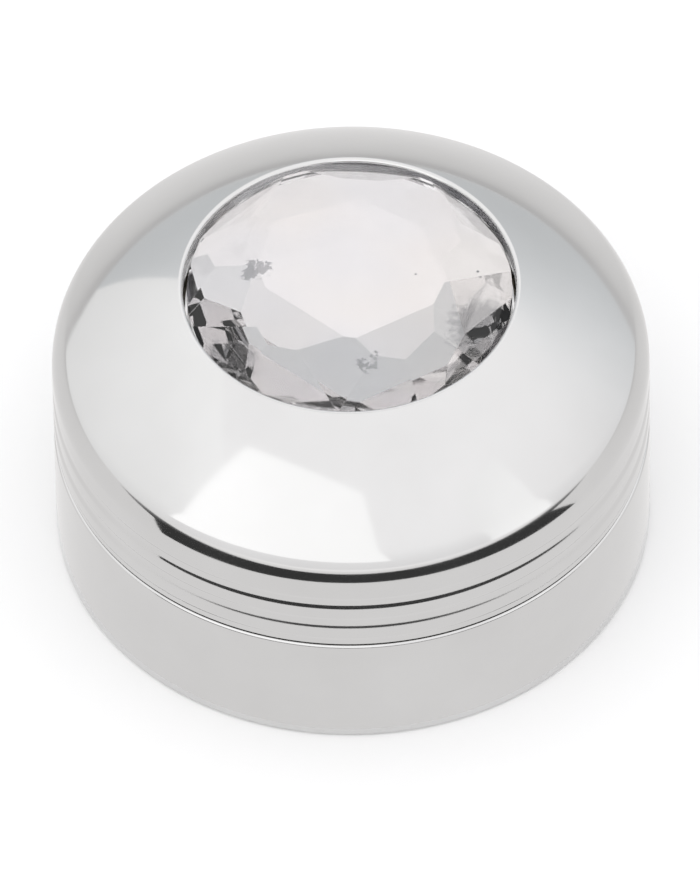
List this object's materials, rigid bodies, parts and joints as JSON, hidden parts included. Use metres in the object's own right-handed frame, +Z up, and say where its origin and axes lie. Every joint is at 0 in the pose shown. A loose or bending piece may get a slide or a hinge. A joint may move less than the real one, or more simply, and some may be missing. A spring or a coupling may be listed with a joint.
{
  "type": "two-piece twist grinder",
  "caption": "Small round two-piece twist grinder in polished plated metal, with a domed magnetic lid, turned grooves and a faceted clear glass jewel set in the top.",
  "frame": {"origin": "centre of the flat ring in the underside that the grinder stands on", "axes": "+Z up along the common axis of lid, base and jewel; +X towards the right-hand side; the front faces -Y"},
  "size_m": [0.05, 0.05, 0.0308],
  "materials": {
    "plated_metal": "polished bright plating with a faint haze of fine wiping scratches",
    "clear_glass": "clear, ground in flat polished facets",
    "mirror_foil": "thin mirror backing behind the jewel",
    "clear_glue": "cured clear adhesive",
    "turned_aluminium": "turned, with fine concentric tool marks",
    "nickel_plate": "nickel-plated magnet",
    "nylon": "white nylon, smooth",
    "tooth_steel": "ground stainless steel",
    "screw_steel": "machined stainless steel"
  },
  "bodies": {
    "base": {"base_shell": "plated_metal", "base_magnet": "nickel_plate", "base_tooth_inner_1": "tooth_steel", "base_tooth_inner_2": "tooth_steel", "base_tooth_inner_3": "tooth_steel", "base_tooth_inner_4": "tooth_steel", "base_tooth_inner_5": "tooth_steel", "base_tooth_inner_6": "tooth_steel", "base_tooth_outer_1": "tooth_steel", "base_tooth_outer_2": "tooth_steel", "base_tooth_outer_3": "tooth_steel", "base_tooth_outer_4": "tooth_steel", "base_tooth_outer_5": "tooth_steel", "base_tooth_outer_6": "tooth_steel", "base_tooth_outer_7": "tooth_steel", "base_tooth_outer_8": "tooth_steel", "base_tooth_outer_9": "tooth_steel", "base_tooth_outer_10": "tooth_steel", "base_tooth_outer_11": "tooth_steel", "base_tooth_outer_12": "tooth_steel"},
    "glide": {"glide_ring": "nylon"},
    "lid": {"lid_shell": "plated_metal", "jewel": "clear_glass", "jewel_foil": "mirror_foil", "jewel_glue": "clear_glue", "tooth_plate": "turned_aluminium", "lid_magnet": "nickel_plate", "plate_screw_1": "screw_steel", "plate_screw_2": "screw_steel", "plate_screw_3": "screw_steel", "plate_screw_4": "screw_steel", "lid_tooth_inner_1": "tooth_steel", "lid_tooth_inner_2": "tooth_steel", "lid_tooth_inner_3": "tooth_steel", "lid_tooth_inner_4": "tooth_steel", "lid_tooth_outer_1": "tooth_steel", "lid_tooth_outer_2": "tooth_steel", "lid_tooth_outer_3": "tooth_steel", "lid_tooth_outer_4": "tooth_steel", "lid_tooth_outer_5": "tooth_steel", "lid_tooth_outer_6": "tooth_steel", "lid_tooth_outer_7": "tooth_steel", "lid_tooth_outer_8": "tooth_steel"}
  },
  "joints": [
    {"name": "lid_lift", "type": "slide", "parent": "base", "child": "glide", "axis": [0, 0, 1], "range_m": [0, 0.03]},
    {"name": "lid_twist", "type": "hinge", "parent": "glide", "child": "lid", "pos_m": [0, 0, 0.01195], "axis": [0, 0, 1], "continuous": true}
  ]
}
